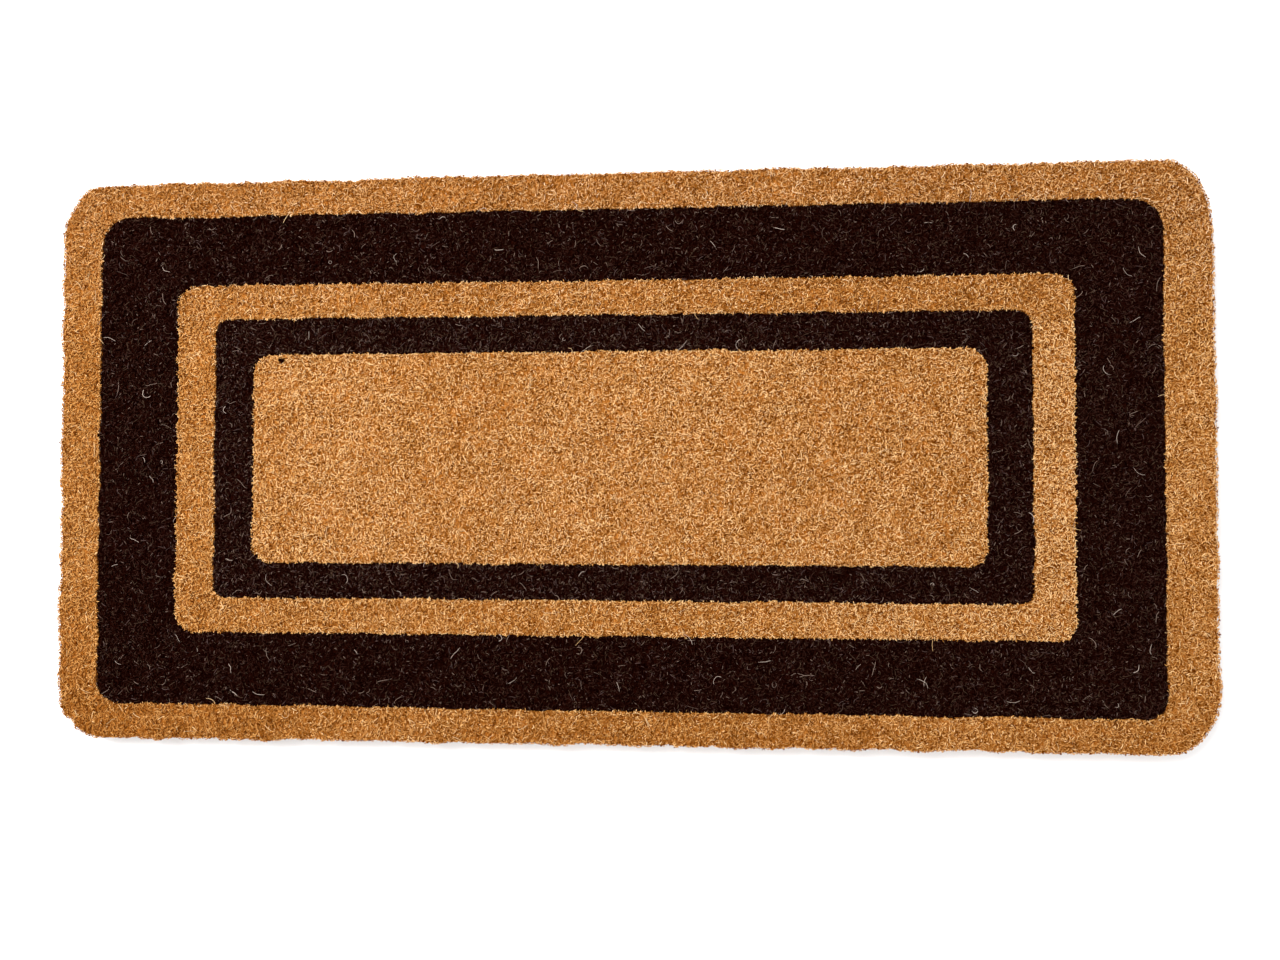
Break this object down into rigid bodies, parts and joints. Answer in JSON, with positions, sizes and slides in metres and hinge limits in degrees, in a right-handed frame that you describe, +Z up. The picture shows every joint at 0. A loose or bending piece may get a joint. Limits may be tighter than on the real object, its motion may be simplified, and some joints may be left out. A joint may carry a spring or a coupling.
{
  "type": "door mat",
  "caption": "Rectangular hand-woven coir door mat with rounded corners, natural pile and two dark rectangular bands, on a corded base.",
  "frame": {"origin": "centre of the underside, on the floor", "axes": "+X along the mat's length, +Y across its width, away from the viewer, +Z up out of the pile"},
  "size_m": [1.2192, 0.6044, 0.032],
  "materials": {
    "coir_natural": "sheared natural coir pile, golden tan, dry and matt",
    "coir_dyed_dark": "sheared coir pile dyed very dark brown, matt",
    "coir_yarn": "twisted undyed coir yarn, matt"
  },
  "bodies": {
    "root": {"pile_border_natural": "coir_natural", "pile_band_wide_dark": "coir_dyed_dark", "pile_band_mid_natural": "coir_natural", "pile_band_narrow_dark": "coir_dyed_dark", "pile_centre_natural": "coir_natural", "weft_cord": "coir_yarn", "edge_cord": "coir_yarn", "warp_chain_01": "coir_yarn", "warp_chain_02": "coir_yarn", "warp_chain_03": "coir_yarn", "warp_chain_04": "coir_yarn", "warp_chain_05": "coir_yarn", "warp_chain_06": "coir_yarn", "warp_chain_07": "coir_yarn", "warp_chain_08": "coir_yarn", "warp_chain_09": "coir_yarn", "warp_chain_10": "coir_yarn", "warp_chain_11": "coir_yarn", "warp_chain_12": "coir_yarn", "warp_chain_13": "coir_yarn", "warp_chain_14": "coir_yarn", "warp_chain_15": "coir_yarn", "warp_chain_16": "coir_yarn", "warp_chain_17": "coir_yarn", "warp_chain_18": "coir_yarn", "warp_chain_19": "coir_yarn", "warp_chain_20": "coir_yarn", "warp_chain_21": "coir_yarn", "warp_chain_22": "coir_yarn", "warp_chain_23": "coir_yarn", "warp_chain_24": "coir_yarn", "warp_chain_25": "coir_yarn", "warp_chain_26": "coir_yarn", "warp_chain_27": "coir_yarn"}
  },
  "joints": []
}
